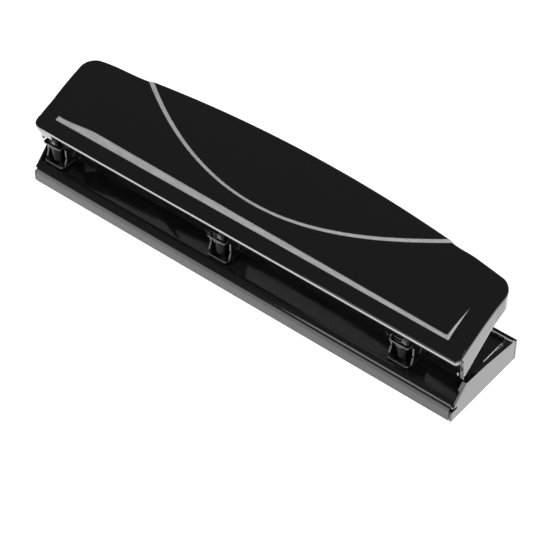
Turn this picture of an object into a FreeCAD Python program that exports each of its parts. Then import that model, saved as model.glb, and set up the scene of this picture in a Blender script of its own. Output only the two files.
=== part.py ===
"""Three hole punch: pressed steel base, three lever-driven punch heads and a full-length press handle.

Frame: millimetres, +X along the punch, -Y towards the paper side, +Z up.
The origin is on the table, under the middle of the punch's own outline.  Distances called "back" are measured
from the front face of the base towards the rear.
"""
import FreeCAD, Part
import math
import os

V = FreeCAD.Vector

# ---------------------------------------------------------------- driving dimensions
BASE_LENGTH = 259.6
BASE_DEPTH = 51.0
SHEET = 1.2                     # deck and bracket sheet
WALL = 1.1                      # outer frame sheet
DECK_TOP = 10.7
DECK_RADIUS = 5.2               # rolled front edge of the deck
TRAY_CORNER = 4.0               # rounded floor-to-wall corner behind the heads
INNER_WALL_LEFT = 28.6          # the deck's own left end wall starts behind the left bracket
INNER_WALL_RIGHT = 7.4
END_WALL = [                    # top line of an end wall as (back, height), from the front
    (0.2, 4.6), (0.6, 6.6), (1.6, 8.6), (2.6, 9.2), (10.6, 17.2), (26.0, 16.4), (47.6, 13.5), (49.6, 12.5),
]
CORNER_SLOT = [                 # slot in the front of an end wall, where the deck's corner hooks in
    (-1.0, 6.1), (4.3, 6.1), (4.3, 7.6), (-1.0, 8.4),
]
FLOOR_ROUNDED_FROM = 31.0       # ahead of this the deck floor meets its end walls in a tight corner
FOOT_HEIGHT = 1.0

HEAD_PITCH = 107.95             # 4 1/4 in between holes
HEAD_OFFSET = -12.5             # middle hole from the middle of the base
PIN_BACK = 9.8
PIN_RADIUS = 3.57               # 9/32 in hole
PIN_CLEARANCE = 0.05
STROKE = 3.6
PAPER_GAP = 1.2
JAW_FRONT_BACK = 4.7
CHEEK_OUTER = 6.7               # half width over the bracket cheeks
CHEEK = 1.1
GUIDE_BOTTOM = 23.7
RIVET_BACK = 24.9
RIVET_SIDE = 3.6
RIVET_RADIUS = 1.5
PIVOT_BACK = 3.9
PIVOT_HEIGHT = 31.6
PIVOT_RADIUS = 1.25
PIN_HEAD_TOP = 32.3
PIN_HEAD_RADIUS = 4.3
PIN_HEAD_THICK = 1.4

HANDLE_LENGTH = 257.8
HANDLE_SHEET = 1.0
HANDLE_FRONT = (1.8, 35.9)      # back, height of the front bend
HANDLE_MIDDLE = (26.0, 46.55)
HANDLE_REAR = (55.2, 53.7)
HANDLE_REAR_RADIUS = 740.0      # bulged rear edge, seen from above
HANDLE_CORNER = 7.0
HANDLE_EDGE = 1.2
FLANGE_LEAN = 0.42              # front flange leans back this much per unit of drop
FLANGE_BOTTOM = 23.3
NOTCH = (-7.3, 3.4, 9.6)        # flange opening at each head: low part, then high part over the pivot
NOTCH_TOPS = (29.0, 34.3)
RIB_RISE = 0.9                  # pressed rib along the front of the handle
RIB_FRONT = 8.8
RIB_HALF = 120.5
RIB_LEG = 3.0
RIB_LEG_BACK = 27.0
PAD_RISE = 0.8                  # pressed rear pad bounded by a parabola
PAD_FRONT = 19.0
PAD_DEPTH = 29.4
PAD_HALF = 90.0

TRAY_HINGE_BACK = 44.2
TRAY_HINGE_HEIGHT = 2.6
TRAY_STUB_RADIUS = 1.0
TRAY_FRONT = 6.4
TRAY_REAR = 45.2
TRAY_TOP = 7.8
TRAY_WALL = 1.3

# ---------------------------------------------------------------- derived places
FRONT = -HANDLE_REAR[0] / 2
REAR = FRONT + BASE_DEPTH
HALF = BASE_LENGTH / 2
HEADS = {
    "left": HEAD_OFFSET - HEAD_PITCH,
    "middle": HEAD_OFFSET,
    "right": HEAD_OFFSET + HEAD_PITCH,
}
DECK_BOTTOM = DECK_TOP - SHEET
JAW_BOTTOM = DECK_TOP + PAPER_GAP
JAW_TOP = JAW_BOTTOM + SHEET
GUIDE_TOP = GUIDE_BOTTOM + 1.0
PIN_Y = FRONT + PIN_BACK
PIVOT_Y = FRONT + PIVOT_BACK
PIN_HEAD_BOTTOM = PIN_HEAD_TOP - PIN_HEAD_THICK
HOLE_RADIUS = PIN_RADIUS + PIN_CLEARANCE
CLIP_TOP = GUIDE_BOTTOM - 0.1
CLIP_BOTTOM = CLIP_TOP - 0.8
CLIP_INNER = 3.0
CLIP_OUTER = 4.9
TRAY_HALF = HALF - 5.6


# ---------------------------------------------------------------- helpers
def box(x0, x1, y0, y1, z0, z1):
    return Part.makeBox(x1 - x0, y1 - y0, z1 - z0, V(x0, y0, z0))


def tube_x(x0, x1, y, z, radius):
    return Part.makeCylinder(radius, x1 - x0, V(x0, y, z), V(1, 0, 0))


def rod(x, y, z0, z1, radius):
    return Part.makeCylinder(radius, z1 - z0, V(x, y, z0))


def side_prism(outline, x0, x1):
    """Extrude an outline of (back, height) points along X."""
    points = [V(x0, FRONT + back, height) for back, height in outline]
    face = Part.Face(Part.makePolygon(points + points[:1]))
    return face.extrude(V(x1 - x0, 0, 0))


def plan_prism(outline, z0, z1):
    """Extrude an outline of (x, y) points along Z."""
    points = [V(x, y, z0) for x, y in outline]
    face = Part.Face(Part.makePolygon(points + points[:1]))
    return face.extrude(V(0, 0, z1 - z0))


def edges_along(shape, direction, where):
    """Straight edges parallel to direction whose middle passes the test."""
    found = []
    for edge in shape.Edges:
        if len(edge.Vertexes) != 2:
            continue
        run = edge.Vertexes[1].Point.sub(edge.Vertexes[0].Point)
        if run.Length > 1e-6 and abs(abs(run.normalize().dot(direction)) - 1) < 1e-6:
            if where(edge.CenterOfMass):
                found.append(edge)
    return found


def export(node, *solids):
    shape = solids[0] if len(solids) == 1 else Part.makeCompound(list(solids))
    shape.exportStep(f"parts/{node}.step")


# ---------------------------------------------------------------- base
def wall_outline(start, drop, bottom):
    """Side view of an end wall, cut off in front of start: a low step, a peak beside the heads, a fall to the rear."""
    ahead = [point for point in END_WALL if point[0] <= start]
    behind = [(back, height - drop) for back, height in END_WALL if back > start]
    if ahead:
        back0, height0 = ahead[-1]
        share = (start - back0) / (behind[0][0] - back0)
        behind.insert(0, (start, height0 - drop + share * (behind[0][1] + drop - height0)))
    return [(behind[0][0], bottom)] + behind + [(behind[-1][0], bottom)]


def rolled_front(inner):
    """Front of the deck as one bent sheet: flange, rolled edge and the first part of the floor."""
    outer = box(-inner, inner, FRONT, FRONT + 12, FOOT_HEIGHT - 0.6, DECK_TOP)
    under = box(-inner - 1, inner + 1, FRONT + SHEET, FRONT + 13, 0, DECK_BOTTOM)
    shapes = []
    for block, radius in ((outer, DECK_RADIUS), (under, DECK_RADIUS - SHEET)):
        edge = edges_along(block, V(1, 0, 0), lambda p: p.y < FRONT + 2 and p.z > DECK_BOTTOM - 0.1)
        shapes.append(block.makeFillet(radius, edge))
    return shapes[0].cut(shapes[1])


def deck_plate():
    """Paper deck: rolled front edge and flange, floor, and upturned inner walls at both ends and rear."""
    inner = HALF - WALL - 0.1
    rear = BASE_DEPTH - WALL - 0.1
    floor = box(-inner, inner, FRONT + 11, FRONT + rear, DECK_BOTTOM, DECK_TOP)
    hem = box(-inner + 0.3, inner - 0.3, FRONT, FRONT + 5.6, FOOT_HEIGHT, FOOT_HEIGHT + SHEET)
    hem = hem.common(box(-HALF, HALF, FRONT + 0.5, FRONT + 9, 0, 9))
    shell = rolled_front(inner - 0.3).fuse([floor, hem]).removeSplitter()

    pocket = box(-inner, inner, FRONT - 5, FRONT + rear, DECK_TOP, 40)
    corner = TRAY_CORNER
    cavity = box(-inner + SHEET, inner - SHEET, FRONT - 20, FRONT + rear - SHEET, DECK_TOP, 41)
    low = edges_along(cavity, V(0, 1, 0), lambda p: p.z < DECK_TOP + 0.1)
    low += edges_along(cavity, V(1, 0, 0), lambda p: p.z < DECK_TOP + 0.1 and p.y > 0)
    low += edges_along(cavity, V(0, 0, 1), lambda p: p.y > 0)
    cavity = cavity.makeFillet(corner, low)
    cavity = cavity.fuse(box(-inner + SHEET, inner - SHEET, FRONT - 20, FRONT + FLOOR_ROUNDED_FROM, DECK_TOP, 41))
    walls = pocket.cut(cavity)
    left = walls.common(side_prism(wall_outline(INNER_WALL_LEFT, 0.3, 0), -HALF, 0))
    right = walls.common(side_prism(wall_outline(INNER_WALL_RIGHT, 0.3, 0), 0, HALF))
    deck = shell.fuse([left, right]).removeSplitter()
    for x in HEADS.values():
        deck = deck.cut(rod(x, PIN_Y, 0, 20, PIN_RADIUS + 1.6))
        for side in (-1, 1):
            deck = deck.cut(rod(x + side * RIVET_SIDE, FRONT + RIVET_BACK, 0, 20, RIVET_RADIUS))
    return deck


def base_frame():
    """Outer frame: two end walls and the rear wall, with a lip turned in along the bottom."""
    outer = side_prism(wall_outline(0, 0.0, 0.4), -HALF, HALF)
    outer = outer.cut(box(-HALF - 1, HALF + 1, REAR - WALL - 0.3, 40, FOOT_HEIGHT + WALL, 40))
    rear = box(-HALF, HALF, REAR - WALL, REAR, 0.4, END_WALL[-1][1] - 0.1)
    hollow = box(-HALF + WALL, HALF - WALL, FRONT - 1, REAR + 1, -1, 40)
    ends = outer.cut(hollow).cut(side_prism(CORNER_SLOT, -HALF - 1, HALF + 1))
    lips = [
        box(-HALF + 0.5, HALF - 0.5, REAR - 3.5, REAR - 0.5, FOOT_HEIGHT, FOOT_HEIGHT + WALL),
        box(-HALF + 0.5, -HALF + 5.0, FRONT + 7.0, REAR - 0.5, FOOT_HEIGHT, FOOT_HEIGHT + WALL),
        box(HALF - 5.0, HALF - 0.5, FRONT + 7.0, REAR - 0.5, FOOT_HEIGHT, FOOT_HEIGHT + WALL),
    ]
    ears = []
    for side in (-1, 1):
        x = side * (HALF - 4.4)
        ears.append(box(x - 0.6, x + 0.6, FRONT + 42.0, FRONT + 46.6, FOOT_HEIGHT, 5.0))
    frame = ends.fuse([rear] + lips + ears).removeSplitter()
    for side in (-1, 1):
        x = side * (HALF - 4.4)
        hole = tube_x(x - 1.5, x + 1.5, FRONT + TRAY_HINGE_BACK, TRAY_HINGE_HEIGHT, TRAY_STUB_RADIUS + 0.05)
        frame = frame.cut(hole)
    return frame


def chip_tray():
    """Moulded tray that catches the paper discs; it swings down on two stub pins at its rear corners."""
    body = box(-TRAY_HALF, TRAY_HALF, FRONT + TRAY_FRONT, FRONT + TRAY_REAR, FOOT_HEIGHT - 0.2, TRAY_TOP)
    body = body.makeFillet(2.5, edges_along(body, V(0, 0, 1), lambda p: p.y < 0))
    body = body.makeFillet(1.8, edges_along(body, V(1, 0, 0), lambda p: p.y > 0 and p.z < 2))
    inside = box(-TRAY_HALF + TRAY_WALL, TRAY_HALF - TRAY_WALL, FRONT + TRAY_FRONT + TRAY_WALL,
                 FRONT + TRAY_REAR - TRAY_WALL - 0.6, FOOT_HEIGHT + 1.2, TRAY_TOP + 5)
    inside = inside.makeFillet(1.2, edges_along(inside, V(0, 0, 1), lambda p: True))
    tray = body.cut(inside)
    for side in (-1, 1):
        start = side * (TRAY_HALF - 1.0)
        end = side * (HALF - 3.4)
        stub = tube_x(min(start, end), max(start, end), FRONT + TRAY_HINGE_BACK, TRAY_HINGE_HEIGHT, TRAY_STUB_RADIUS)
        tray = tray.fuse(stub)
        snap = box(side * 60 - 6, side * 60 + 6, FRONT + TRAY_FRONT - 0.4, FRONT + TRAY_FRONT + 0.4, 2.6, 4.2)
        tray = tray.fuse(snap)
    return tray.removeSplitter()


def rubber_feet():
    feet = []
    for side in (-1, 1):
        for back in (2.0, BASE_DEPTH - 3.6):
            x = side * 112
            foot = box(x - 8, x + 8, FRONT + back, FRONT + back + 2.4, 0, FOOT_HEIGHT)
            feet.append(foot.makeFillet(1.1, edges_along(foot, V(0, 0, 1), lambda p: True)))
    return feet


# ---------------------------------------------------------------- punch heads
def head_bracket(x):
    """Jaw plate above the paper gap, two cheeks, a pin guide and a riveted foot; the right cheek carries the pivot."""
    y = FRONT
    jaw_outline = [(-5.8, 0), (5.8, 0), (6.9, 4.2), (6.9, 17.4), (-6.9, 17.4), (-6.9, 4.2)]
    jaw = plan_prism([(x + px, y + JAW_FRONT_BACK + py) for px, py in jaw_outline], JAW_BOTTOM, JAW_TOP)
    jaw = jaw.makeFillet(1.8, edges_along(jaw, V(0, 0, 1), lambda p: p.y < y + JAW_FRONT_BACK + 1))
    step = box(x - 6.9, x + 6.9, y + 22.1 - SHEET, y + 22.1, DECK_TOP, JAW_TOP)
    foot = box(x - 6.9, x + 6.9, y + 21.4, y + 28.2, DECK_TOP, DECK_TOP + SHEET)
    foot = foot.makeFillet(2.5, edges_along(foot, V(0, 0, 1), lambda p: p.y > y + 26))
    half_gap = CHEEK_OUTER - CHEEK
    low = JAW_TOP - 0.4
    front = [(7.0, low), (8.4, DECK_TOP + 5.9)]
    top = [(12.5, DECK_TOP + 22.0), (18.6, DECK_TOP + 17.9), (20.2, DECK_TOP + 10.4), (20.2, low)]
    plain = [(8.4, DECK_TOP + 13.0), (9.4, DECK_TOP + 20.0)]
    nosed = [(8.4, DECK_TOP + 11.9), (7.2, DECK_TOP + 14.9), (3.0, DECK_TOP + 18.6), (3.0, DECK_TOP + 23.2),
             (6.0, DECK_TOP + 23.2)]
    left = side_prism(front + plain + top, x - CHEEK_OUTER, x - half_gap)
    right = side_prism(front + nosed + top, x + half_gap, x + CHEEK_OUTER)
    nose = tube_x(x + half_gap, x + CHEEK_OUTER, PIVOT_Y, PIVOT_HEIGHT, 2.5)
    neck = side_prism([(PIVOT_BACK, PIVOT_HEIGHT - 2.5), (8, DECK_TOP + 15.4), (8, DECK_TOP + 22.4),
                       (PIVOT_BACK, DECK_TOP + 23.4)], x + half_gap, x + CHEEK_OUTER)
    guide = box(x - half_gap - 0.3, x + half_gap + 0.3, y + PIN_BACK - 4.9, y + 16.5, GUIDE_BOTTOM, GUIDE_TOP)
    guide = guide.makeFillet(1.5, edges_along(guide, V(0, 0, 1), lambda p: p.y < y + 8))
    back = box(x - half_gap - 0.3, x + half_gap + 0.3, y + 16.5 - SHEET, y + 16.5, JAW_TOP, GUIDE_TOP)
    bracket = jaw.fuse([step, foot, left, right, nose, neck, guide, back]).removeSplitter()
    bracket = bracket.cut(rod(x, PIN_Y, JAW_BOTTOM - 1, GUIDE_TOP + 1, HOLE_RADIUS))
    bracket = bracket.cut(tube_x(x - 1, x + 10, PIVOT_Y, PIVOT_HEIGHT, PIVOT_RADIUS))
    for side in (-1, 1):
        bracket = bracket.cut(rod(x + side * RIVET_SIDE, y + RIVET_BACK, 0, 20, RIVET_RADIUS))
    return bracket


def die_bush(x):
    """Hardened ring set flush in the deck under each pin."""
    bush = rod(x, PIN_Y, DECK_TOP - 2.2, DECK_TOP, PIN_RADIUS + 1.6)
    bush = bush.fuse(rod(x, PIN_Y, DECK_TOP - 2.2, DECK_BOTTOM - 0.2, PIN_RADIUS + 1.9))
    return bush.cut(rod(x, PIN_Y, 0, 20, HOLE_RADIUS)).removeSplitter()


def punch_pin(x):
    """Hardened pin with a flat head, a groove for its retaining clip and a hollow-ground cutting end."""
    bottom = JAW_BOTTOM + 0.5
    pin = rod(x, PIN_Y, bottom, PIN_HEAD_BOTTOM, PIN_RADIUS)
    head = rod(x, PIN_Y, PIN_HEAD_BOTTOM, PIN_HEAD_TOP, PIN_HEAD_RADIUS)
    head = head.makeFillet(0.4, [e for e in head.Edges if e.CenterOfMass.z > PIN_HEAD_TOP - 0.05 and e.Closed][:1])
    groove = rod(x, PIN_Y, CLIP_BOTTOM, CLIP_TOP, PIN_RADIUS + 1)
    groove = groove.cut(rod(x, PIN_Y, CLIP_BOTTOM, CLIP_TOP, CLIP_INNER))
    hollow = Part.makeSphere(6.0, V(x, PIN_Y, bottom - 5.2))
    return pin.fuse(head).cut(groove).cut(hollow).removeSplitter()


def retaining_clip(x):
    """E-clip under the guide that stops the pin at the top of its travel."""
    ring = rod(x, PIN_Y, CLIP_BOTTOM, CLIP_TOP, CLIP_OUTER).cut(rod(x, PIN_Y, CLIP_BOTTOM, CLIP_TOP, CLIP_INNER))
    return ring.cut(box(x - 2.2, x + 2.2, PIN_Y, PIN_Y + 8, CLIP_BOTTOM, CLIP_TOP))


def return_spring(x):
    """Compression spring round the pin, from the guide to the pin head: tilted half rings joined end to end."""
    wire = 0.3
    start = GUIDE_TOP + wire + 0.05
    end = PIN_HEAD_BOTTOM - wire - 0.05
    radius = PIN_RADIUS + 0.25 + wire
    halves = 6
    rise = (end - start) / halves
    rings = []
    for half in range(halves):
        side = 1 if half % 2 else -1
        low = V(side * radius, 0, half * rise)
        chord = V(-2 * side * radius, 0, rise)
        profile = Part.Face(Part.Wire(Part.makeCircle(wire, low, V(0, 1, 0))))
        rings.append(profile.revolve(low + chord * 0.5, chord.cross(V(0, -side, 0)), 180))
    spring = rings[0].fuse(rings[1:])
    spring.translate(V(x, PIN_Y, start))
    return spring


def pivot_pin(x):
    """Riveted axle through the right cheek and the lever's right ear."""
    inner = x + CHEEK_OUTER - CHEEK - 0.3 - 1.0
    outer = x + CHEEK_OUTER
    axle = tube_x(inner - 0.6, outer, PIVOT_Y, PIVOT_HEIGHT, PIVOT_RADIUS)
    flare = tube_x(inner - 0.6, inner - 0.1, PIVOT_Y, PIVOT_HEIGHT, 1.8)
    head = tube_x(outer, outer + 1.2, PIVOT_Y, PIVOT_HEIGHT, 2.1)
    head = head.makeFillet(0.6, [e for e in head.Edges if e.Closed and e.CenterOfMass.x > outer + 1.1])
    return axle.fuse([flare, head]).removeSplitter()


def bracket_rivets():
    rivets = []
    for x in HEADS.values():
        for side in (-1, 1):
            px, py = x + side * RIVET_SIDE, FRONT + RIVET_BACK
            shank = rod(px, py, DECK_BOTTOM - 0.6, DECK_TOP + SHEET + 0.1, RIVET_RADIUS)
            flare = rod(px, py, DECK_BOTTOM - 0.7, DECK_BOTTOM, 2.3)
            dome = Part.makeSphere(2.9, V(px, py, DECK_TOP + SHEET - 1.7)).common(
                rod(px, py, DECK_TOP + SHEET, DECK_TOP + SHEET + 3, 3.5))
            rivets.append(shank.fuse([flare, dome]).removeSplitter())
    return rivets


# ---------------------------------------------------------------- handle
def circle_through(a, b, c):
    """Centre and radius of the circle through three (back, height) points."""
    d = 2 * (a[0] * (b[1] - c[1]) + b[0] * (c[1] - a[1]) + c[0] * (a[1] - b[1]))
    sa, sb, sc = (p[0] ** 2 + p[1] ** 2 for p in (a, b, c))
    u = (sa * (b[1] - c[1]) + sb * (c[1] - a[1]) + sc * (a[1] - b[1])) / d
    v = (sa * (c[0] - b[0]) + sb * (a[0] - c[0]) + sc * (b[0] - a[0])) / d
    return (u, v), math.hypot(a[0] - u, a[1] - v)


CROWN_CENTRE, CROWN_RADIUS = circle_through(HANDLE_FRONT, HANDLE_MIDDLE, HANDLE_REAR)


def crown_height(back, offset=0.0):
    """Height of the handle's top surface, or of a surface offset outwards from it."""
    reach = (CROWN_RADIUS + offset) ** 2 - (back - CROWN_CENTRE[0]) ** 2
    return CROWN_CENTRE[1] + math.sqrt(reach)


def crown_prism(offset, back0, back1, lower, x0, x1):
    """Solid under the crowned top between two distances back, closed below by the lower outline."""
    mid = (back0 + back1) / 2
    ends = [V(x0, FRONT + b, crown_height(b, offset)) for b in (back0, mid, back1)]
    top = Part.Arc(*ends).toShape()
    rest = [ends[2]] + [V(x0, FRONT + b, h) for b, h in lower] + [ends[0]]
    wire = Part.Wire([top] + Part.makePolygon(rest).Edges)
    return Part.Face(wire).extrude(V(x1 - x0, 0, 0))


def handle_plan(inset):
    """Handle seen from above: straight ends, bulged rear edge, rounded rear corners."""
    half = HANDLE_LENGTH / 2 - inset
    radius = HANDLE_REAR_RADIUS - inset
    rear = FRONT + HANDLE_REAR[0] - inset
    block = box(-half, half, FRONT - 2, rear + 2, 0, 80)
    block = block.common(rod(0, rear - radius, 0, 80, radius))
    corners = edges_along(block, V(0, 0, 1), lambda p: p.y > 0)
    return block.makeFillet(HANDLE_CORNER - inset, corners)


def handle_shell():
    """Pressed steel cover with leaning front flange, tapering end flanges, front panel step and rear pad."""
    half = HANDLE_LENGTH / 2
    flange_foot = HANDLE_FRONT[0] + FLANGE_LEAN * (HANDLE_FRONT[1] - FLANGE_BOTTOM)
    lower = [(60, 48.1), (50, 45.3), (42, 42.7), (28, 36.1), (flange_foot + 2.6, FLANGE_BOTTOM),
             (flange_foot, FLANGE_BOTTOM)]
    outer = crown_prism(0, HANDLE_FRONT[0], 60, lower, -half - 5, half + 5).common(handle_plan(0))
    soft = []
    for edge in outer.Edges:
        c = edge.CenterOfMass
        if abs(c.z - crown_height(c.y - FRONT)) < 0.8 and c.y - FRONT > 0:
            soft.append(edge)
    outer = outer.makeFillet(HANDLE_EDGE, soft)
    t = HANDLE_SHEET
    shift = t * math.hypot(1, FLANGE_LEAN)
    inner_front = HANDLE_FRONT[0] + shift - 0.2
    inner_foot = inner_front + FLANGE_LEAN * (crown_height(inner_front, -t) - 0)
    inner = crown_prism(-t, inner_front, 60, [(60, 0), (inner_foot, 0)], -half - 5, half + 5)
    shell = outer.cut(inner.common(handle_plan(t)))
    panel = crown_prism(RIB_RISE, RIB_FRONT, 60, [(60, 30), (RIB_FRONT, 30)], -half, half)
    shell = shell.fuse(front_rib().common(panel).cut(inner)).fuse(rear_pad().cut(inner))
    for x in HEADS.values():
        for start, end, top in zip(NOTCH[:-1], NOTCH[1:], NOTCH_TOPS):
            shell = shell.cut(box(x + start, x + end, FRONT - 2, FRONT + 9.5, 0, top))
    for side in (-1, 1):
        x = side * half
        seam = box(min(x, x - side * 2.2), max(x, x - side * 2.2), FRONT - 2, FRONT + 12, 0, 34.7)
        behind = crown_prism(0, 3.4, 60, [(60, 0), (3.4 + FLANGE_LEAN * 34, 0)], -half - 5, half + 5)
        shell = shell.cut(seam.cut(behind))
    return shell.removeSplitter()


def front_rib():
    """Raised rib along the front that turns back in a tapering leg at each end."""
    rear_left, rear_right = 12.9, 10.5
    outline = [
        (-RIB_HALF, RIB_FRONT), (RIB_HALF, RIB_FRONT), (RIB_HALF - 0.6, RIB_LEG_BACK),
        (RIB_HALF - RIB_LEG, rear_right), (-RIB_HALF + RIB_LEG, rear_left), (-RIB_HALF + 0.6, RIB_LEG_BACK),
    ]
    return plan_prism([(x, FRONT + back) for x, back in outline], 0, 80)


def rear_pad():
    """Raised rear press area bounded by a parabola that meets the rear edge."""
    steps = 24
    points = []
    for i in range(steps + 1):
        x = PAD_HALF * (2 * i / steps - 1) * 1.06
        points.append((x, FRONT + PAD_FRONT + PAD_DEPTH * (x / PAD_HALF) ** 2))
    points += [(120, FRONT + 70), (-120, FRONT + 70)]
    region = plan_prism(points, 0, 80).common(handle_plan(HANDLE_EDGE * 0.7))
    return region.common(crown_prism(PAD_RISE, 5, 60, [(60, 20), (5, 20)], -130, 130))


def lever_lug(x):
    """U-shaped lug welded under the handle: two ears, the right one pivoted, and the bar that presses the pin head."""
    half = CHEEK_OUTER - CHEEK - 0.3
    ear = 1.0
    top = -HANDLE_SHEET
    bar_back, bar_height = 12.2, PIVOT_HEIGHT + 1.8
    start, end = 5.6, 17.5
    lower = [(end, PIVOT_HEIGHT + 4.5), (13.6, bar_height), (11.0, bar_height - 0.4), (start, PIVOT_HEIGHT - 1.2)]
    block = crown_prism(top, start, end, lower, x - half, x + half)
    nose = tube_x(x + half - ear, x + half, PIVOT_Y, PIVOT_HEIGHT, 2.3)
    neck = side_prism([(PIVOT_BACK, PIVOT_HEIGHT - 2.3), (7.5, PIVOT_HEIGHT - 0.9), (7.5, PIVOT_HEIGHT + 4.2),
                       (PIVOT_BACK, PIVOT_HEIGHT + 2.3)], x + half - ear, x + half)
    web = block.cut(crown_prism(top - ear, 1, 30, [(30, 0), (1, 0)], x - 20, x + 20))
    hollow = box(x - half + ear, x + half - ear, FRONT - 5, FRONT + 40, 0, 80)
    bar = tube_x(x - half, x + half, FRONT + bar_back, bar_height, 1.0)
    lug = block.cut(hollow).fuse([nose, neck, web, bar]).removeSplitter()
    return lug.cut(tube_x(x, x + 10, PIVOT_Y, PIVOT_HEIGHT, PIVOT_RADIUS + 0.05))


# ---------------------------------------------------------------- write every node
def main():
    os.makedirs("parts", exist_ok=True)
    export("deck_plate", deck_plate())
    export("base_frame", base_frame())
    export("chip_tray", chip_tray())
    export("rubber_feet", *rubber_feet())
    export("bracket_rivets", *bracket_rivets())
    export("handle_shell", handle_shell())
    per_head = {
        "head_bracket": head_bracket,
        "die_bush": die_bush,
        "punch_pin": punch_pin,
        "retaining_clip": retaining_clip,
        "return_spring": return_spring,
        "pivot_pin": pivot_pin,
        "lever_lug": lever_lug,
    }
    for place, x in HEADS.items():
        for name, make in per_head.items():
            export(f"{name}_{place}", make(x))


main()
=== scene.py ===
import bpy, bmesh, math
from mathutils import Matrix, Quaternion, Vector


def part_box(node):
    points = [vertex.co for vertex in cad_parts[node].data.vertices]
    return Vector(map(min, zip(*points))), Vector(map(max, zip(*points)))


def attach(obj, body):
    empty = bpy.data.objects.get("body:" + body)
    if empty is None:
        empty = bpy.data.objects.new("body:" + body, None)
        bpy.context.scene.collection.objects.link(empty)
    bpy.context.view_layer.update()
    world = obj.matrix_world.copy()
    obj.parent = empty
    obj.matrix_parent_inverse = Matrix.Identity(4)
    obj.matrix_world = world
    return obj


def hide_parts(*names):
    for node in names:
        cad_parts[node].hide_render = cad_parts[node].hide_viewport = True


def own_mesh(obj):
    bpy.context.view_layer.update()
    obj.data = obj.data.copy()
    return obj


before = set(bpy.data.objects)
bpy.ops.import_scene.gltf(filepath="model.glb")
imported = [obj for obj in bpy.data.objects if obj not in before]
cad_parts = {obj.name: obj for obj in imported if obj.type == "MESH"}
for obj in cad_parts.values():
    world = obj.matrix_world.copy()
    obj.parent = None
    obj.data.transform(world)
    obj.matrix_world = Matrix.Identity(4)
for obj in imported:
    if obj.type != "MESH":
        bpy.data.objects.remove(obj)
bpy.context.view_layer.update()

MM = 0.001
SIDES = ("left", "middle", "right")

# ---------------------------------------------------------------- handle dimensions, millimetres
# "back" is measured from the front face of the base, x from the middle of its length.
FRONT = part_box("deck_plate")[0][1] / MM
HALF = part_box("handle_shell")[1][0] / MM
HEADS = [sum(corner[0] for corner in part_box("punch_pin_" + side)) / 2 / MM for side in SIDES]
SHEET = 1.0

# side view: (back, height)
CROWN_POINTS = [(1.8, 35.9), (26.0, 46.55), (55.2, 53.7)]    # the top's arc passes through these
SKIRT = [(8.66, 23.3), (9.7, 23.3), (28.0, 36.1), (42.0, 42.7), (50.0, 45.3), (60.0, 48.1)]
SKIRT_ROWS, SKIRT_TURN = 8, 1.0
FLANGE_FOOT, FLANGE_LEAN, FLANGE_STEP = 23.3, 0.42, 1.1
BEND_RADIUS, BEND_STEPS = 1.7, 12
BEND_PROUD, BEND_REACH = 0.35, 1.5           # above the first crown point, and behind it
BEND_HIGHLIGHT_AT, BEND_HIGHLIGHT_HALF = 0.40, 0.42    # painted highlight line along the bend: share of the way round the bend, half width
SETTLE = 3.0                                 # the bend runs out into the crown over this depth

# plan view
REAR_BACK, REAR_RADIUS = 55.2, 740.0
REAR_CORNER, RIM_RADIUS = 7.0, 1.3
SWELL_START = 94.0
SWELL_LEFT, SWELL_RIGHT = (1.7, 26.0), (0.8, 12.0)    # how far out, and over what length
FRONT_CORNER_LEFT, FRONT_CORNER_RIGHT = 4.5, 2.0
FRONT_CUT_SHARE, FRONT_CUT_DEPTH = 0.8, 9.0    # how much of the corner is cut, fading over this depth
FLARE_FRONT, FLARE_LEFT, FLARE_RIGHT = -0.6, 1.1, 0.2    # the ends splay a little towards the rear
FLARE_START, FLARE_DEPTH, FLARE_POWER = 3.0, 38.0, 12

# pressed rib, with a leg at each end, and pressed rear pad
STEP_WIDTH = 0.9
RIB_FRONT, RIB_REAR_LEFT, RIB_REAR_RIGHT, RIB_RISE, RIB_HALF = 8.8, 12.8, 10.4, 0.9, 119.2
RIB_TAPER, RIB_TAPER_LENGTH = 1.9, 26.0
LEG_WIDTH, LEG_TIP, LEG_BACK, LEG_RISE_LEFT, LEG_RISE_RIGHT = 2.6, 0.6, 26.6, 0.3, 0.6
# where the painted highlight runs on the right leg: inset from the end, lean towards the rear, half width
LEG_HIGHLIGHT_INSET, LEG_HIGHLIGHT_LEAN, LEG_HIGHLIGHT_HALF = 0.9, 0.5, 0.75
PAD_FRONT, PAD_DEPTH, PAD_HALF, PAD_RISE = 19.0, 29.4, 90.0, 0.8
ACCENT_LEFT, ACCENT_MIDDLE, ACCENT_RIGHT = 2.0, 0.75, 1.45
ACCENT_REACH, ACCENT_POWER = 88.0, 1.4

# openings of the front flange: a stepped notch at each head, and the seam at each end
NOTCH, NOTCH_TOPS = (-7.3, 3.4, 9.6), (29.0, 34.3)
SEAM, SEAM_TOP = 2.2, 34.3

# where the mesh is cut
RIM_CUTS = [0, 0.06, 0.22, 0.45, 0.75, 1.0, RIM_RADIUS]
END_CUTS = RIM_CUTS + [1.7, SEAM, 3.0, 4.0, 5.3, REAR_CORNER]
LEG_CUT, LEG_ZONE = 116.9, (116, 122)
FINE_COLUMN, COARSE_COLUMN = 0.3, 1.0
FRONT_ROWS_TO, FRONT_ROW = 4.6, 0.5
RIB_ROWS_TO, RIB_ROW = 14.0, 0.36
TOP_ROWS = 76
BELOW_BEND, BEFORE_RIB = 0.05, 0.1           # least distance of a row from the bend and from the rib
NO_HIGHLIGHT = -5.0                               # well outside any painted highlight
COVER_EDGE = 0.16

# ---------------------------------------------------------------- return springs, millimetres
SPRING_WIRE = 0.3        # radius of the wire
SPRING_TURNS, SPRING_STEPS, SPRING_SIDES = 4, 40, 12
FLAT_TURN = 0.5          # at each end


def clamp(value, low=0.0, high=1.0):
    return max(low, min(high, value))


def smooth(value):
    t = clamp(value)
    return t * t * (3 - 2 * t)


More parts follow.
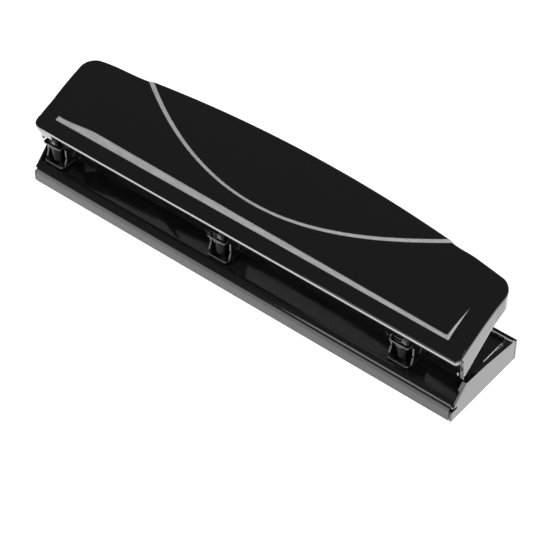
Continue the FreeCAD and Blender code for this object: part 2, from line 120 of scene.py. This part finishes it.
def interpolate(points, at):
    """Height of a line of (back, height) points."""
    for (b0, h0), (b1, h1) in zip(points, points[1:]):
        if at <= b1:
            return h0 + (h1 - h0) * (at - b0) / (b1 - b0)
    return points[-1][1]


def circle_through(a, b, c):
    """Centre and radius of the circle through three points."""
    d = 2 * (a[0] * (b[1] - c[1]) + b[0] * (c[1] - a[1]) + c[0] * (a[1] - b[1]))
    sa, sb, sc = (p[0] ** 2 + p[1] ** 2 for p in (a, b, c))
    u = (sa * (b[1] - c[1]) + sb * (c[1] - a[1]) + sc * (a[1] - b[1])) / d
    v = (sa * (c[0] - b[0]) + sb * (a[0] - c[0]) + sc * (b[0] - a[0])) / d
    return u, v, math.hypot(a[0] - u, a[1] - v)


CROWN_BACK, CROWN_HEIGHT, CROWN_RADIUS = circle_through(*CROWN_POINTS)


def crown_height(back):
    return CROWN_HEIGHT + math.sqrt(CROWN_RADIUS ** 2 - (back - CROWN_BACK) ** 2)


def crown_normal(back):
    return Vector((back - CROWN_BACK, crown_height(back) - CROWN_HEIGHT)).normalized()


# ---------------------------------------------------------------- handle surface
def rear_swell(x):
    """The rear edge steps out a little beyond the press pad, more on the left."""
    out, length = SWELL_LEFT if x < 0 else SWELL_RIGHT
    return out * smooth((abs(x) - SWELL_START) / length)


def rear_edge(x):
    """Rear edge of the handle seen from above, without its rounded corners."""
    return REAR_BACK - x * x / (2 * REAR_RADIUS) + rear_swell(x)


def rear_limit(x):
    """Rear edge of the handle seen from above, with its rounded corners."""
    back = rear_edge(x)
    into = REAR_CORNER - (HALF - abs(x))
    if into > 0:
        back -= REAR_CORNER - math.sqrt(max(0.0, REAR_CORNER ** 2 - into ** 2))
    return back


def front_cut(x):
    """How far the rounded front corners set the front edge back."""
    radius = FRONT_CORNER_LEFT if x < 0 else FRONT_CORNER_RIGHT
    into = clamp(radius - (HALF - abs(x)), 0, radius)
    return radius - math.sqrt(radius ** 2 - into ** 2)


def rim_distance(x, back):
    """Distance from the rolled rim, seen from above."""
    end = HALF - abs(x)
    rear = rear_edge(x) - back
    if end < REAR_CORNER and rear < REAR_CORNER:
        return REAR_CORNER - math.hypot(REAR_CORNER - end, REAR_CORNER - rear)
    return min(end, rear)


def rim_drop(distance):
    """How far the rolled rim has turned down at a distance inside the edge."""
    inside = clamp(RIM_RADIUS - distance, 0, RIM_RADIUS)
    return RIM_RADIUS - math.sqrt(max(0.0, RIM_RADIUS ** 2 - inside ** 2))


def rib_inside(x, back):
    """Distance inside the long rib, negative outside."""
    share = clamp((x + RIB_HALF) / (2 * RIB_HALF))
    rear = RIB_REAR_LEFT + share * (RIB_REAR_RIGHT - RIB_REAR_LEFT)
    rear -= RIB_TAPER * (1 - smooth((x + RIB_HALF) / RIB_TAPER_LENGTH))
    return min(back - RIB_FRONT, rear - back, RIB_HALF - abs(x))


def leg_inside(x, back):
    """Distance inside the tapering leg at either end of the rib."""
    share = (back - RIB_REAR_RIGHT) / (LEG_BACK - RIB_REAR_RIGHT)
    inner = RIB_HALF - LEG_WIDTH + share * (LEG_WIDTH - LEG_TIP)
    outer = RIB_HALF - LEG_TIP * share
    return min(outer - abs(x), abs(x) - inner, back - RIB_FRONT, LEG_BACK - back)


def accent_width(x):
    """Width of the bevel round the press pad, which widens towards both ends."""
    end = ACCENT_LEFT if x < 0 else ACCENT_RIGHT
    return ACCENT_MIDDLE + (end - ACCENT_MIDDLE) * clamp(abs(x) / ACCENT_REACH) ** ACCENT_POWER


def pad_inside(x, back):
    """Distance behind the parabola that bounds the rear press pad."""
    slope = 2 * PAD_DEPTH * x / PAD_HALF ** 2
    return (back - PAD_FRONT - PAD_DEPTH * (x / PAD_HALF) ** 2) / math.hypot(1, slope)


def rise(x, back):
    """Height of the rib, its legs and the press pad above the crown."""
    leg_rise = LEG_RISE_LEFT if x < 0 else LEG_RISE_RIGHT
    rib = RIB_RISE * smooth(rib_inside(x, back) / STEP_WIDTH)
    leg = leg_rise * smooth(leg_inside(x, back) / STEP_WIDTH)
    width = accent_width(x)
    pad = PAD_RISE * smooth((pad_inside(x, back) + width / 2) / width)
    return max(rib, leg, pad)


def painted_highlight(x, back):
    """Distance inside the painted highlight: pale satin stripes painted on the rib, its right leg and the
    bevel of the press pad, where they would catch the light.
    """
    accent = accent_width(x) / 2 - abs(pad_inside(x, back))
    highlight_stripes = [rib_inside(x, back), accent]
    if x > 0:
        share = (back - RIB_FRONT) / (LEG_BACK - RIB_FRONT)
        centre = RIB_HALF - LEG_HIGHLIGHT_INSET + LEG_HIGHLIGHT_LEAN * share
        highlight_stripes.append(min(LEG_HIGHLIGHT_HALF * (1 - share) - abs(x - centre), back - RIB_FRONT))
    return max(highlight_stripes)


def spread(marks, step):
    """Marks with even stops between them, at most a step apart."""
    stops = []
    for a, b in zip(marks, marks[1:]):
        count = max(1, math.ceil((b - a) / step - 1e-6))
        stops += [a + (b - a) * i / count for i in range(count)]
    return stops + [marks[-1]]


def handle_columns():
    """Places along x where the skin is cut, closer together at the legs of the rib."""
    marks = [-HALF + cut for cut in END_CUTS] + [HALF - cut for cut in END_CUTS]
    marks += [x + start for x in HEADS for start in NOTCH]
    marks += [-LEG_CUT, LEG_CUT]
    marks = sorted(marks)
    columns = set()
    for a, b in zip(marks, marks[1:]):
        fine = LEG_ZONE[0] < abs((a + b) / 2) < LEG_ZONE[1]
        step = FINE_COLUMN if fine else COARSE_COLUMN
        columns.update(round(column, 4) for column in spread([a, b], step))
    return sorted(columns)


def front_profile():
    """Rows up the front flange and round the bend, each a (back, height) point, its outward normal
    and its distance along the bend, negative below it. The length of the bend comes second."""
    down = Vector((FLANGE_LEAN, -1)).normalized()
    flange_normal = Vector((-1, -FLANGE_LEAN)).normalized()
    top_normal = crown_normal(CROWN_POINTS[0][0] + BEND_REACH)
    turn = flange_normal.angle(top_normal)
    corner = Vector(CROWN_POINTS[0]) + (flange_normal + top_normal).normalized() * BEND_PROUD
    start = corner + down * (BEND_RADIUS * math.tan(turn / 2))
    centre = start - flange_normal * BEND_RADIUS
    upper_notch = min(NOTCH_TOPS[1], start.y - BELOW_BEND)
    rows = []
    for height in spread([FLANGE_FOOT, NOTCH_TOPS[0], upper_notch], FLANGE_STEP) + [start.y]:
        point = start + down * ((start.y - height) / -down.y)
        rows.append((point, flange_normal, -(point - start).length))
    for i in range(1, BEND_STEPS + 1):
        angle = turn * i / BEND_STEPS
        across, up = flange_normal
        normal = Vector((across * math.cos(angle) + up * math.sin(angle),
                         up * math.cos(angle) - across * math.sin(angle)))
        rows.append((centre + normal * BEND_RADIUS, normal, BEND_RADIUS * angle))
    return rows, BEND_RADIUS * turn


class Skin:
    """Outer skin of the handle: front flange, bend, crowned top, rolled rim and tapering skirt."""

    def __init__(self):
        self.mesh = bmesh.new()
        # distances inside the painted highlights, which the handle's enamel reads
        self.painted_highlight = self.mesh.verts.layers.float.new("painted_highlight")
        self.bend_highlight = self.mesh.verts.layers.float.new("bend_highlight")
        self.profile, self.bend_length = front_profile()
        self.bend_end = self.profile[-1][0]
        self.columns = handle_columns()
        grid = [self.front_column(x) + self.top_column(x) for x in self.columns]
        self.fill(grid)
        corner = len(self.profile) - 1
        rear = [column[-1] for column in grid[1:-1]]
        self.skirt(grid[0][corner:] + rear + grid[-1][corner:][::-1])
        self.flare()
        stray = [v for v in self.mesh.verts if not v.link_faces]
        bmesh.ops.delete(self.mesh, geom=stray, context="VERTS")

    def vert(self, place, highlight_inside=NO_HIGHLIGHT, bend_highlight_inside=NO_HIGHLIGHT):
        made = self.mesh.verts.new(place)
        made[self.painted_highlight] = highlight_inside
        made[self.bend_highlight] = bend_highlight_inside
        return made

    def front_column(self, x):
        """Flange and bend at one x, pulled in by the rolled ends and the rounded front corners."""
        drop = rim_drop(HALF - abs(x))
        cut = FRONT_CUT_SHARE * front_cut(x)
        climb = crown_height(self.bend_end.x + cut) - crown_height(self.bend_end.x)
        # centre of the painted highlight line round the bend
        highlight_line = self.bend_length * BEND_HIGHLIGHT_AT
        column = []
        for point, normal, along in self.profile:
            p = point - normal * drop + Vector((cut, climb))
            bend_highlight_inside = BEND_HIGHLIGHT_HALF - abs(along - highlight_line)
            column.append(self.vert((x, FRONT + p.x, p.y), bend_highlight_inside=bend_highlight_inside))
        return column

    def top_column(self, x):
        """Crowned top at one x, from the bend to the rolled rear rim."""
        start = self.bend_end.x
        cut = FRONT_CUT_SHARE * front_cut(x)
        lift = self.bend_end.y - crown_height(start)
        last = rear_limit(x)
        backs = spread([start, FRONT_ROWS_TO], FRONT_ROW)[1:]
        backs += spread([FRONT_ROWS_TO, RIB_FRONT - BEFORE_RIB, RIB_ROWS_TO], RIB_ROW)[1:]
        rest = last - RIM_RADIUS - RIB_ROWS_TO
        backs += [RIB_ROWS_TO + rest * i / TOP_ROWS for i in range(1, TOP_ROWS)]
        backs += [last - cut_at for cut_at in reversed(RIM_CUTS)]
        column = []
        for back in backs:
            settle = lift * (1 - smooth((back - start) / SETTLE))
            set_back = back + cut * (1 - clamp((back - start) / FRONT_CUT_DEPTH))
            drop = rim_drop(rim_distance(x, set_back))
            z = crown_height(set_back) + settle + rise(x, set_back) - drop
            column.append(self.vert((x, FRONT + set_back, z), highlight_inside=painted_highlight(x, set_back)))
        return column

    def fill(self, grid):
        """Faces between the columns, leaving the openings of the front flange."""
        flange_rows = len(self.profile) - 1
        for i in range(len(grid) - 1):
            middle = (self.columns[i] + self.columns[i + 1]) / 2
            near, far = grid[i], grid[i + 1]
            for j in range(len(near) - 1):
                if j < flange_rows:
                    height = (self.profile[j][0].y + self.profile[j + 1][0].y) / 2
                    if missing(middle, height):
                        continue
                self.mesh.faces.new((near[j], far[j], far[j + 1], near[j + 1]))

    def skirt(self, loop):
        """End and rear flanges, from the rolled rim down to their tapering lower edge."""
        turn_back = rear_limit(HALF) - SKIRT_TURN
        first = loop[0].co.y - FRONT
        strips = []
        for vert in loop:
            back = vert.co.y - FRONT
            low_back = back
            if back < turn_back:
                stretch = (turn_back - SKIRT[0][0]) / (turn_back - first)
                low_back = turn_back - (turn_back - back) * stretch
            low = Vector((vert.co.x, FRONT + low_back, interpolate(SKIRT, low_back)))
            shares = [row / SKIRT_ROWS for row in range(1, SKIRT_ROWS + 1)]
            strips.append([vert] + [self.vert(vert.co.lerp(low, share)) for share in shares])
        for a, b in zip(strips, strips[1:]):
            for row in range(SKIRT_ROWS):
                self.mesh.faces.new((a[row], b[row], b[row + 1], a[row + 1]))

    def flare(self):
        """Splays the ends outwards towards the rear."""
        for vert in self.mesh.verts:
            share = clamp((vert.co.y - FRONT - FLARE_START) / FLARE_DEPTH)
            rear = FLARE_LEFT if vert.co.x < 0 else FLARE_RIGHT
            out = FLARE_FRONT + (rear - FLARE_FRONT) * share
            vert.co.x += math.copysign(out * abs(vert.co.x / HALF) ** FLARE_POWER, vert.co.x)


def missing(x, height):
    """True in the openings of the front flange: one at each head, and the seam at each end."""
    if HALF - abs(x) < SEAM and height < SEAM_TOP:
        return True
    for head in HEADS:
        for start, stop, top in zip(NOTCH, NOTCH[1:], NOTCH_TOPS):
            if start < x - head < stop and height < top:
                return True
    return False


def handle_cover(outside, inside):
    """Pressed cover: the skin, thickened inwards, with its inner face in plain enamel."""
    mesh = Skin().mesh
    bmesh.ops.scale(mesh, vec=(MM, MM, MM), verts=mesh.verts)
    bmesh.ops.recalc_face_normals(mesh, faces=mesh.faces)
    top = max(mesh.faces, key=lambda f: f.calc_center_median().z)
    if top.normal.z < 0:
        bmesh.ops.reverse_faces(mesh, faces=mesh.faces)
    for face in mesh.faces:
        face.smooth = True
    cover = add_piece("handle_cover", mesh, outside, inside)
    sheet = cover.modifiers.new("sheet", "SOLIDIFY")
    sheet.thickness = SHEET * MM
    sheet.offset = -1
    sheet.material_offset = 1
    soften(cover, COVER_EDGE, clamped=True)
    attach(cover, "handle")
    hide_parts("handle_shell")


def add_piece(name, mesh, *materials):
    """Object with the finished bmesh as its mesh, in the scene."""
    data = bpy.data.meshes.new(name)
    mesh.to_mesh(data)
    mesh.free()
    for material in materials:
        data.materials.append(material)
    piece = bpy.data.objects.new(name, data)
    bpy.context.scene.collection.objects.link(piece)
    return piece


def weld(obj):
    """Joins the vertices that the CAD mesh repeats along its edges, so that they can be rounded."""
    join = obj.modifiers.new("weld", "WELD")
    join.merge_threshold = 2e-6


def soften(obj, width, clamped):
    """Rounded edges, as on pressed and painted sheet. Clamped edges never run past their neighbours."""
    bevel = obj.modifiers.new("edges", "BEVEL")
    bevel.width = width * MM
    bevel.segments = 2
    bevel.limit_method = "ANGLE"
    bevel.angle_limit = math.radians(35)
    bevel.use_clamp_overlap = clamped
    even = obj.modifiers.new("normals", "WEIGHTED_NORMAL")
    even.keep_sharp = True


def coil_mesh(centre, radius, bottom, top):
    """Round wire wound from bottom to top, with half a flat turn at each end."""
    mesh = bmesh.new()
    rings = []
    for step in range(SPRING_TURNS * SPRING_STEPS + 1):
        turn = step / SPRING_STEPS
        turned = math.tau * turn
        climbed = clamp((turn - FLAT_TURN) / (SPRING_TURNS - 2 * FLAT_TURN))
        height = bottom + (top - bottom) * climbed
        ring = []
        for corner in range(SPRING_SIDES):
            round_wire = math.tau * corner / SPRING_SIDES
            reach = radius + SPRING_WIRE * math.cos(round_wire)
            place = Vector((centre.x + reach * math.cos(turned), centre.y + reach * math.sin(turned),
                            height + SPRING_WIRE * math.sin(round_wire)))
            ring.append(mesh.verts.new(MM * place))
        rings.append(ring)
    for near, far in zip(rings, rings[1:]):
        for a in range(SPRING_SIDES):
            b = (a + 1) % SPRING_SIDES
            mesh.faces.new((near[a], near[b], far[b], far[a])).smooth = True
    for end in (rings[0], rings[-1]):
        mesh.faces.new(end)
    bmesh.ops.recalc_face_normals(mesh, faces=mesh.faces)
    return mesh


def spring_coil(side, material):
    """Compression spring round a pin, which shortens as the pin goes down."""
    low, high = (Vector(corner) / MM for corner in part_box("return_spring_" + side))
    centre = (low + high) / 2
    radius = (high.x - low.x) / 2 - SPRING_WIRE
    mesh = coil_mesh(centre, radius, low.z + SPRING_WIRE, high.z - SPRING_WIRE)
    coil = add_piece("spring_coil_" + side, mesh, material)
    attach(coil, "base")
    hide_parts("return_spring_" + side)
    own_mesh(coil)


# ---------------------------------------------------------------- materials
class Graph:
    """Short names for building one material's node tree. Noise scales are per metre."""

    def __init__(self, name):
        self.material = bpy.data.materials.new(name)
        self.material.use_nodes = True
        self.tree = self.material.node_tree
        self.shader = self.tree.nodes["Principled BSDF"]
        self.place = self.tree.nodes.new("ShaderNodeTexCoord").outputs["Object"]

    def node(self, kind, **settings):
        made = self.tree.nodes.new(kind)
        for key, value in settings.items():
            setattr(made, key, value)
        return made

    def link(self, a, b):
        self.tree.links.new(a, b)

    def noise(self, scale, detail=2.0, roughness=0.5, stretch=None):
        source = self.place
        if stretch:
            mapping = self.node("ShaderNodeMapping")
            mapping.inputs["Scale"].default_value = stretch
            self.link(source, mapping.inputs["Vector"])
            source = mapping.outputs["Vector"]
        made = self.node("ShaderNodeTexNoise")
        made.inputs["Scale"].default_value = scale
        made.inputs["Detail"].default_value = detail
        made.inputs["Roughness"].default_value = roughness
        self.link(source, made.inputs["Vector"])
        return made.outputs["Fac"]

    def spread(self, value, low, high, to_low, to_high):
        made = self.node("ShaderNodeMapRange", interpolation_type="SMOOTHSTEP")
        limits = {"From Min": low, "From Max": high, "To Min": to_low, "To Max": to_high}
        for key, number in limits.items():
            made.inputs[key].default_value = number
        self.link(value, made.inputs["Value"])
        return made.outputs["Result"]

    def attribute(self, name):
        return self.node("ShaderNodeAttribute", attribute_name=name).outputs["Fac"]

    def math(self, operation, a, b):
        made = self.node("ShaderNodeMath", operation=operation)
        for socket, value in zip(made.inputs, (a, b)):
            if isinstance(value, (int, float)):
                socket.default_value = value
            else:
                self.link(value, socket)
        return made.outputs["Value"]

    def mix_colour(self, share, a, b):
        made = self.node("ShaderNodeMix", data_type="RGBA")
        self.link(share, made.inputs["Factor"])
        for key, value in ((6, a), (7, b)):
            if isinstance(value, tuple):
                made.inputs[key].default_value = value
            else:
                self.link(value, made.inputs[key])
        return made.outputs[2]

    def mix_value(self, share, a, b):
        made = self.node("ShaderNodeMix", data_type="FLOAT")
        self.link(share, made.inputs["Factor"])
        for key, value in ((2, a), (3, b)):
            if isinstance(value, (int, float)):
                made.inputs[key].default_value = value
            else:
                self.link(value, made.inputs[key])
        return made.outputs[0]

    def bump(self, height, strength, distance):
        made = self.node("ShaderNodeBump")
        made.inputs["Strength"].default_value = strength
        made.inputs["Distance"].default_value = distance
        self.link(height, made.inputs["Height"])
        self.link(made.outputs["Normal"], self.shader.inputs["Normal"])

    def set(self, **sockets):
        for key, value in sockets.items():
            socket = self.shader.inputs[key.replace("_", " ")]
            if isinstance(value, (int, float, tuple)):
                socket.default_value = value
            else:
                self.link(value, socket)


def enamel(name, with_painted_highlights=False):
    """Gloss black stoving enamel: slight orange peel, hazy patches and fine dust.
    With painted highlights on, pale satin grey is painted where the mesh's stripe attributes are
    positive: painted highlights on the rib, its right leg and the pad's bevel, and a painted highlight
    line along the front bend."""
    g = Graph(name)
    haze = g.spread(g.noise(70, 3), 0.35, 0.75, 0.055, 0.13)
    dust = g.spread(g.noise(900, 4, 0.6), 0.66, 0.82, 0.0, 0.5)
    colour = g.mix_colour(dust, (0.004, 0.004, 0.0043, 1), (0.012, 0.012, 0.013, 1))
    rough = g.math("ADD", haze, g.math("MULTIPLY", dust, 0.12))
    peel = g.math("ADD", g.noise(420, 1.0), g.math("MULTIPLY", g.noise(1600, 2), 0.12))
    g.set(Coat_Weight=1.0, Coat_Roughness=0.05, Coat_IOR=1.52, IOR=1.52)
    if with_painted_highlights:
        # painted highlight: pale satin grey on the rib, its right leg and the pad's bevel, in place of
        # their reflection of the light; no coat there
        highlight_mask = g.spread(g.attribute("painted_highlight"), -0.12, 0.16, 0.0, 1.0)
        grain = g.noise(900, 3, 0.6, stretch=(0.15, 1.0, 1.0))
        share = g.spread(grain, 0.3, 0.7, 0.0, 1.0)
        highlight_colour = g.mix_colour(share, (0.23, 0.23, 0.232, 1), (0.29, 0.29, 0.293, 1))
        colour = g.mix_colour(highlight_mask, colour, highlight_colour)
        rough = g.mix_value(highlight_mask, rough, g.spread(grain, 0.3, 0.7, 0.42, 0.56))
        # painted highlight: a pale line along the front bend, in place of its reflection of the light; no
        # coat there
        highlight_line = g.spread(g.attribute("bend_highlight"), -0.1, 0.15, 0.0, 1.0)
        colour = g.mix_colour(highlight_line, colour, (0.42, 0.42, 0.425, 1))
        rough = g.mix_value(highlight_line, rough, 0.4)
        g.set(Coat_Weight=g.math("SUBTRACT", 1.0, g.math("MAXIMUM", highlight_mask, highlight_line)))
    g.bump(peel, 0.10, 0.00025)
    g.set(Base_Color=colour, Roughness=rough)
    return g.material


def metal(name, dark, light, rough_low, rough_high, stretch):
    """Turned or drawn steel: directional grain, and darker oiled patches."""
    g = Graph(name)
    grain = g.noise(700, 4, 0.65, stretch=stretch)
    patch = g.noise(260, 2)
    tone = g.math("ADD", g.math("MULTIPLY", grain, 0.6), g.math("MULTIPLY", patch, 0.4))
    share = g.spread(tone, 0.3, 0.7, 0.0, 1.0)
    rough = g.spread(grain, 0.25, 0.75, rough_low, rough_high)
    g.set(Metallic=1.0, Base_Color=g.mix_colour(share, dark, light), Roughness=rough)
    g.bump(grain, 0.12, 0.00006)
    return g.material


def plastic(name):
    """Moulded black tray: fine spark texture with a satin sheen."""
    g = Graph(name)
    spark = g.noise(1900, 3, 0.7)
    patch = g.noise(45, 2)
    share = g.spread(patch, 0.3, 0.75, 0.0, 1.0)
    colour = g.mix_colour(share, (0.012, 0.012, 0.012, 1), (0.022, 0.022, 0.023, 1))
    g.set(Base_Color=colour, Roughness=g.spread(spark, 0.25, 0.75, 0.34, 0.55), IOR=1.53)
    g.bump(spark, 0.25, 0.0001)
    return g.material


def rubber(name):
    """Matt rubber with fine pores."""
    g = Graph(name)
    pores = g.noise(1500, 5, 0.75)
    share = g.spread(pores, 0.3, 0.75, 0.0, 1.0)
    colour = g.mix_colour(share, (0.018, 0.018, 0.018, 1), (0.04, 0.04, 0.039, 1))
    g.set(Base_Color=colour, Roughness=g.spread(pores, 0.2, 0.8, 0.72, 0.95))
    g.bump(pores, 0.4, 0.00012)
    return g.material


# ---------------------------------------------------------------- camera, floor and light
FLOOR_SIZE = 24


def softbox(name, place, size, power, seen_in_gloss=True):
    """Rectangular light aimed at the object; one that isn't seen in gloss lights without a reflection."""
    light = bpy.data.lights.new(name, "AREA")
    light.shape = "RECTANGLE"
    light.size, light.size_y = size
    light.energy = power
    obj = bpy.data.objects.new(name, light)
    bpy.context.scene.collection.objects.link(obj)
    obj.location = place
    obj.rotation_mode = "QUATERNION"
    obj.rotation_quaternion = (-Vector(place)).to_track_quat("-Z", "Y")
    obj.visible_glossy = seen_in_gloss


def camera():
    """Camera in front of the right-hand end, looking down at the object."""
    azimuth, elevation, roll = (math.radians(angle) for angle in (39.62, 44.46, -0.36))
    distance = 0.92324
    target = Vector((0.01591, -0.01277, 0.0111))
    data = bpy.data.cameras.new("camera")
    data.sensor_width = 36.0
    data.lens = 127.24
    data.clip_start, data.clip_end = 0.01, 30.0
    obj = bpy.data.objects.new("camera", data)
    bpy.context.scene.collection.objects.link(obj)
    flat = math.cos(elevation)
    back = Vector((math.sin(azimuth) * flat, -math.cos(azimuth) * flat, math.sin(elevation)))
    obj.location = target + back * distance
    obj.rotation_mode = "QUATERNION"
    obj.rotation_quaternion = (-back).to_track_quat("-Z", "Y") @ Quaternion((0, 0, 1), roll)
    bpy.context.scene.camera = obj


def sky():
    """Dim even light from above, and a pale band at the horizon that meets the floor."""
    world = bpy.data.worlds.new("world")
    bpy.context.scene.world = world
    world.use_nodes = True
    tree = world.node_tree
    direction = tree.nodes.new("ShaderNodeTexCoord")
    height = tree.nodes.new("ShaderNodeSeparateXYZ")
    tree.links.new(direction.outputs["Generated"], height.inputs["Vector"])
    fade = tree.nodes.new("ShaderNodeMapRange")
    for key, number in {"From Min": 0.03, "From Max": 0.11, "To Min": 0.88, "To Max": 0.075}.items():
        fade.inputs[key].default_value = number
    tree.links.new(height.outputs["Z"], fade.inputs["Value"])
    background = tree.nodes["Background"]
    tree.links.new(fade.outputs["Result"], background.inputs["Strength"])
    background.inputs["Color"].default_value = (1, 1, 1, 1)


def floor():
    """Wide pale sheet that glows a little, like the top of a light table."""
    bpy.ops.mesh.primitive_plane_add(size=FLOOR_SIZE)
    plane = bpy.context.object
    plane.name = "floor"
    g = Graph("floor_paper")
    rough = g.spread(g.noise(30), 0.3, 0.7, 0.85, 0.95)
    g.set(Base_Color=(0.4, 0.4, 0.4, 1), Roughness=rough)
    g.set(Emission_Color=(1, 1, 1, 1), Emission_Strength=0.85)
    plane.data.materials.append(g.material)


camera()
floor()
sky()
softbox("key_right", (1.4, 0.8, 1.2), (1.5, 1.3), 38, seen_in_gloss=False)
softbox("front_right", (1.0, -1.1, 1.1), (1.7, 1.4), 30)
softbox("side_left", (-1.6, -0.35, 0.6), (0.7, 0.5), 20, seen_in_gloss=False)
softbox("glow_left", (-1.25, 0.75, 0.5), (0.6, 0.5), 3.5)
softbox("glow_front", (-0.24, -1.36, 0.8), (0.9, 0.5), 2.5)

# ---------------------------------------------------------------- pieces and finishes
FINISHES = {
    "black_enamel": enamel("black_enamel"),
    "black_plastic": plastic("black_plastic"),
    "foot_rubber": rubber("foot_rubber"),
    "dark_steel": metal("dark_steel", dark=(0.006, 0.006, 0.0065, 1), light=(0.02, 0.02, 0.021, 1),
                        rough_low=0.09, rough_high=0.18, stretch=(1, 1, 0.2)),
    "hard_steel": metal("hard_steel", dark=(0.42, 0.42, 0.43, 1), light=(0.62, 0.62, 0.63, 1),
                        rough_low=0.2, rough_high=0.36, stretch=(1, 1, 0.2)),
    "spring_steel": metal("spring_steel", dark=(0.06, 0.06, 0.062, 1), light=(0.16, 0.16, 0.163, 1),
                          rough_low=0.2, rough_high=0.34, stretch=(0.6, 0.6, 1)),
}
SLOTS = {
    "deck_plate": "black_enamel", "base_frame": "black_enamel", "chip_tray": "black_plastic",
    "rubber_feet": "foot_rubber", "bracket_rivets": "dark_steel", "handle_shell": "black_enamel",
    "head_bracket": "black_enamel", "die_bush": "hard_steel", "punch_pin": "dark_steel",
    "retaining_clip": "spring_steel", "return_spring": "spring_steel", "pivot_pin": "dark_steel",
    "lever_lug": "black_enamel",
}
SOFT_EDGES = {
    "deck_plate": 0.3, "base_frame": 0.3, "chip_tray": 0.3, "head_bracket": 0.22, "lever_lug": 0.15,
}
CLAMPED_EDGES = ("deck_plate", "base_frame")

for name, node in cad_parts.items():
    kind = name
    for side in SIDES:
        kind = kind.removesuffix("_" + side)
    node.data.materials.clear()
    node.data.materials.append(FINISHES[SLOTS[kind]])
    if kind in SOFT_EDGES:
        weld(node)
        soften(node, SOFT_EDGES[kind], clamped=kind in CLAMPED_EDGES)

# the outer face gets the enamel with painted highlights
handle_cover(enamel("black_enamel_painted_highlights", with_painted_highlights=True), FINISHES["black_enamel"])
for side in SIDES:
    spring_coil(side, FINISHES["spring_steel"])

bpy.context.scene.view_settings.view_transform = "Standard"
